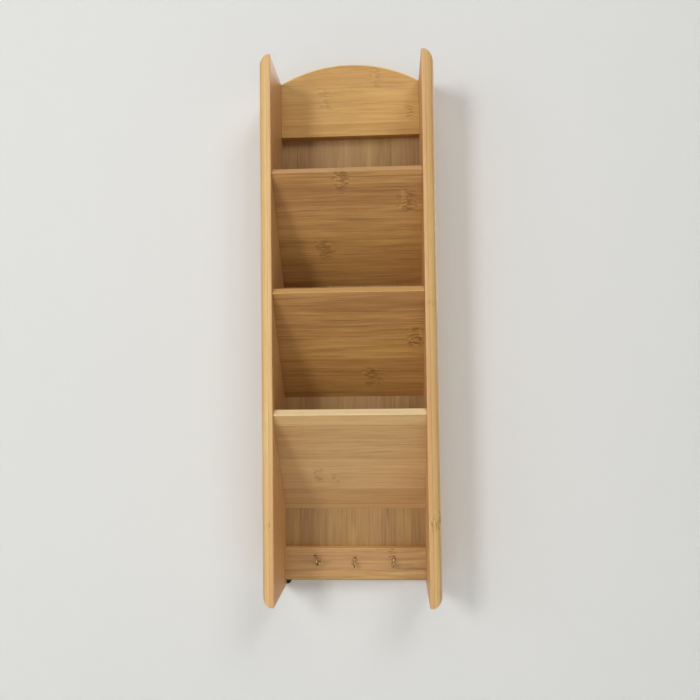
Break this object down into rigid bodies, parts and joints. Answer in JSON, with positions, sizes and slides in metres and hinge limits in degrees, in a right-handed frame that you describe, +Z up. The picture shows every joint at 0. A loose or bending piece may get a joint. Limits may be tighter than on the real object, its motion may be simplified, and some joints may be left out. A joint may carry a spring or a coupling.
{
  "type": "wall letter rack",
  "caption": "Tall narrow wall rack in bamboo: leaning letter pockets between two side panels, an arched header above, and a rail of small screw hooks for keys below.",
  "frame": {"origin": "on the wall, midway between the two keyhole entries", "axes": "+X to the right as seen from the room, +Y into the wall, +Z up"},
  "size_m": [0.154, 0.077, 0.4958],
  "materials": {
    "bamboo_sides": "clear satin lacquer on edge-glued bamboo, grain upright",
    "bamboo_boards": "clear satin lacquer on laminated bamboo strips, grain across",
    "bamboo_back": "thin lacquered bamboo sheet, grain upright",
    "bamboo_pins": "bare bamboo rod",
    "brass_wire": "dulled brass plate",
    "zinc_plated_steel": "bright zinc plate",
    "black_rubber": "matt moulded rubber"
  },
  "bodies": {
    "root": {"left_side_panel": "bamboo_sides", "right_side_panel": "bamboo_sides", "back_panel": "bamboo_back", "arched_header": "bamboo_boards", "pocket_front_top": "bamboo_boards", "pocket_front_middle": "bamboo_boards", "pocket_front_bottom": "bamboo_boards", "hook_rail": "bamboo_boards", "hook_left": "brass_wire", "hook_centre": "brass_wire", "hook_right": "brass_wire", "keyhole_hanger_left": "zinc_plated_steel", "keyhole_hanger_right": "zinc_plated_steel", "hanger_screws": "zinc_plated_steel", "back_panel_brads": "zinc_plated_steel", "header_pins": "bamboo_pins", "rail_pins": "bamboo_pins", "pocket_front_pins": "bamboo_pins", "wall_bumper_left": "black_rubber", "wall_bumper_right": "black_rubber"}
  },
  "joints": []
}
